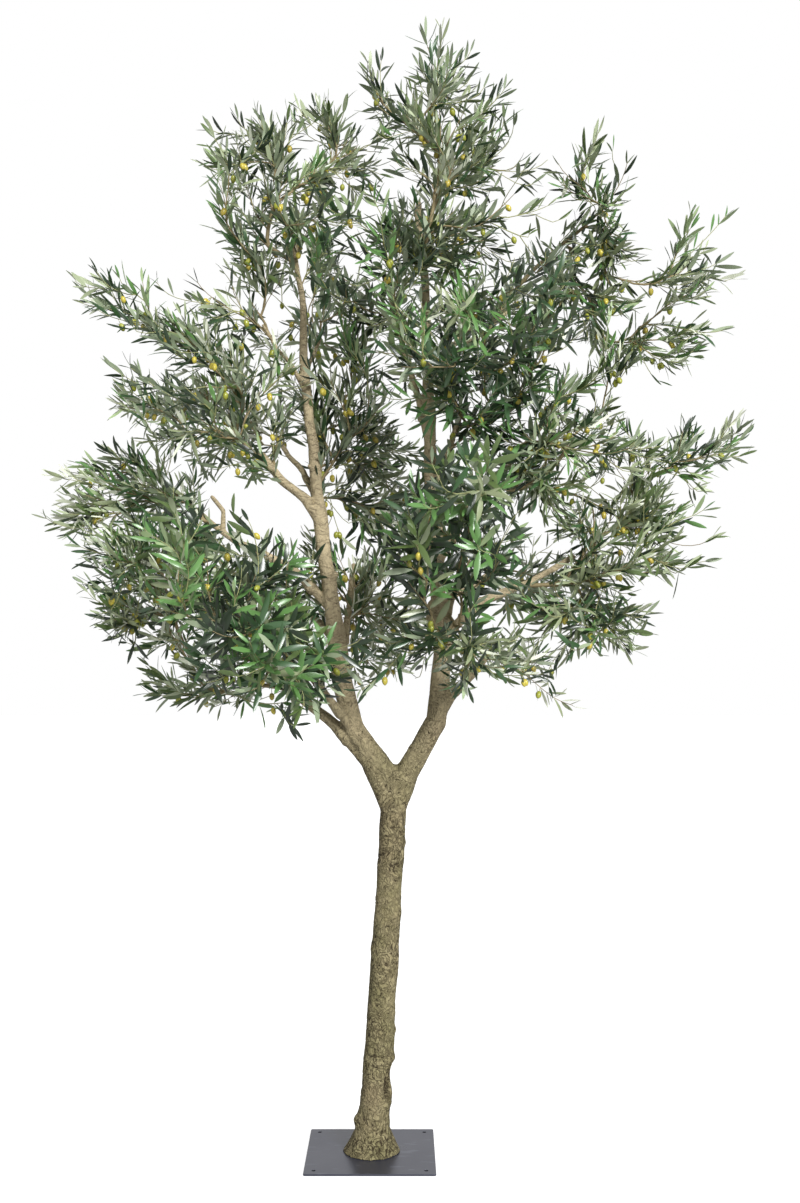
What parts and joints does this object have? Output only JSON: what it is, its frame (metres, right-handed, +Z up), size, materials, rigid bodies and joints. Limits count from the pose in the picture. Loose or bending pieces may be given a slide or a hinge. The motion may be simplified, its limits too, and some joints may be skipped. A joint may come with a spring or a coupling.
{
  "type": "artificial olive tree on a base plate",
  "caption": "Artificial olive tree with a forked trunk, spreading boughs and a full, uneven crown, standing on a square steel base plate with a bolt hole at each corner.",
  "frame": {"origin": "middle of the underside of the square base plate", "axes": "+Z up along the trunk, -Y towards the front, +X towards the right as seen from the front"},
  "size_m": [2.337, 1.5091, 3.5398],
  "materials": {
    "plate": "satin",
    "bark": "matte",
    "foliage": "matte"
  },
  "bodies": {
    "root": {"base_plate": "plate", "trunk": "bark", "stem_left": "bark", "stem_right": "bark", "bough_left_high": "bark", "bough_left_arch": "bark", "bough_left_front": "bark", "bough_left_low": "bark", "bough_left_side": "bark", "bough_left_inner": "bark", "bough_left_back": "bark", "bough_left_rear": "bark", "bough_left_top": "bark", "bough_right_low": "bark", "bough_right_front": "bark", "bough_right_far": "bark", "bough_right_high": "bark", "bough_right_side": "bark", "bough_right_rise": "bark", "bough_right_tall": "bark", "bough_right_back": "bark", "bough_right_rear": "bark", "bough_centre_back": "bark", "leaves_top": "foliage", "leaves_top_front": "foliage", "leaves_top_right": "foliage", "leaves_upper_left": "foliage", "leaves_upper_back": "foliage", "leaves_shoulder_left": "foliage", "leaves_high_left": "foliage", "leaves_tip_left": "foliage", "leaves_arch_left": "foliage", "leaves_mid_left": "foliage", "leaves_front_left": "foliage", "leaves_low_left": "foliage", "leaves_skirt_left": "foliage", "leaves_back_left": "foliage", "leaves_rear_left": "foliage", "leaves_rear_top": "foliage", "leaves_high_right": "foliage", "leaves_shoulder_right": "foliage", "leaves_elbow_right": "foliage", "leaves_mid_right": "foliage", "leaves_far_right": "foliage", "leaves_low_right": "foliage", "leaves_skirt_right": "foliage", "leaves_under_right": "foliage", "leaves_heart_low": "foliage", "leaves_heart_right": "foliage", "leaves_heart_mid": "foliage", "leaves_heart_high": "foliage", "leaves_inner_left": "foliage", "leaves_inner_low": "foliage", "leaves_back_right": "foliage", "leaves_rear_right": "foliage", "leaves_rear_centre": "foliage"}
  },
  "joints": []
}
